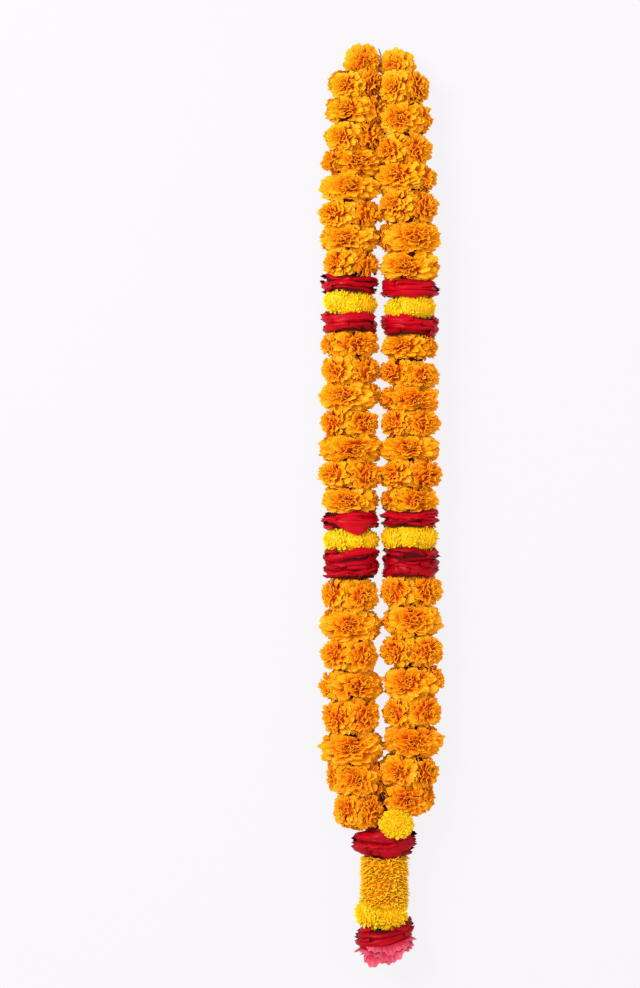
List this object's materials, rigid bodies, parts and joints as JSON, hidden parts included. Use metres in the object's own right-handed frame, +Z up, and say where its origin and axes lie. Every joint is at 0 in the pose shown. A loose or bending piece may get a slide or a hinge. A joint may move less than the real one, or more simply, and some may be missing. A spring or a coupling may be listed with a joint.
{
  "type": "marigold garland",
  "caption": "Flower garland of marigold strands with rose and yellow bands, tied at the top and joined in a short pendant, laid flat.",
  "frame": {"origin": "on the surface the garland lies on, under the middle of its overall box", "axes": "+X across the two strands, +Y along them towards the end the garland hangs by, +Z up from the surface"},
  "size_m": [0.1326, 1.0142, 0.0575],
  "materials": {
    "marigold_petals": "soft matte petals, orange with lighter tips",
    "yellow_petals": "soft matte petals, strong yellow",
    "chrysanthemum_petals": "fine narrow petals, orange yellow",
    "rose_petals": "satin crimson petals with near-black edges",
    "pink_petals": "ruffled pink petals, paler at their edges",
    "cotton_thread": "twisted cotton thread"
  },
  "bodies": {
    "root": {"chrysanthemum_1": "chrysanthemum_petals", "chrysanthemum_2": "chrysanthemum_petals", "chrysanthemum_3": "chrysanthemum_petals", "crimson_petals": "rose_petals", "end_knot": "cotton_thread", "gathering_knot": "cotton_thread", "hanging_thread": "cotton_thread", "left_band_1_lower_roses": "rose_petals", "left_band_1_upper_roses": "rose_petals", "left_band_1_yellow_row": "yellow_petals", "left_band_2_lower_roses": "rose_petals", "left_band_2_upper_roses": "rose_petals", "left_band_2_yellow_row": "yellow_petals", "left_marigolds_01": "marigold_petals", "left_marigolds_02": "marigold_petals", "left_marigolds_03": "marigold_petals", "left_marigolds_04": "marigold_petals", "left_marigolds_05": "marigold_petals", "left_marigolds_06": "marigold_petals", "left_marigolds_07": "marigold_petals", "left_marigolds_08": "marigold_petals", "left_marigolds_09": "marigold_petals", "left_marigolds_10": "marigold_petals", "left_marigolds_11": "marigold_petals", "left_marigolds_12": "marigold_petals", "left_thread": "cotton_thread", "left_top_marigold": "marigold_petals", "pendant_thread": "cotton_thread", "pendant_yellow_row": "yellow_petals", "pink_petals": "pink_petals", "right_band_1_lower_roses": "rose_petals", "right_band_1_upper_roses": "rose_petals", "right_band_1_yellow_row": "yellow_petals", "right_band_2_lower_roses": "rose_petals", "right_band_2_upper_roses": "rose_petals", "right_band_2_yellow_row": "yellow_petals", "right_marigolds_01": "marigold_petals", "right_marigolds_02": "marigold_petals", "right_marigolds_03": "marigold_petals", "right_marigolds_04": "marigold_petals", "right_marigolds_05": "marigold_petals", "right_marigolds_06": "marigold_petals", "right_marigolds_07": "marigold_petals", "right_marigolds_08": "marigold_petals", "right_marigolds_09": "marigold_petals", "right_marigolds_10": "marigold_petals", "right_marigolds_11": "marigold_petals", "right_marigolds_12": "marigold_petals", "right_thread": "cotton_thread", "right_top_marigold": "marigold_petals", "rose_collar": "rose_petals", "small_yellow_flower": "yellow_petals", "top_knot": "cotton_thread", "yellow_pompon": "yellow_petals"}
  },
  "joints": []
}
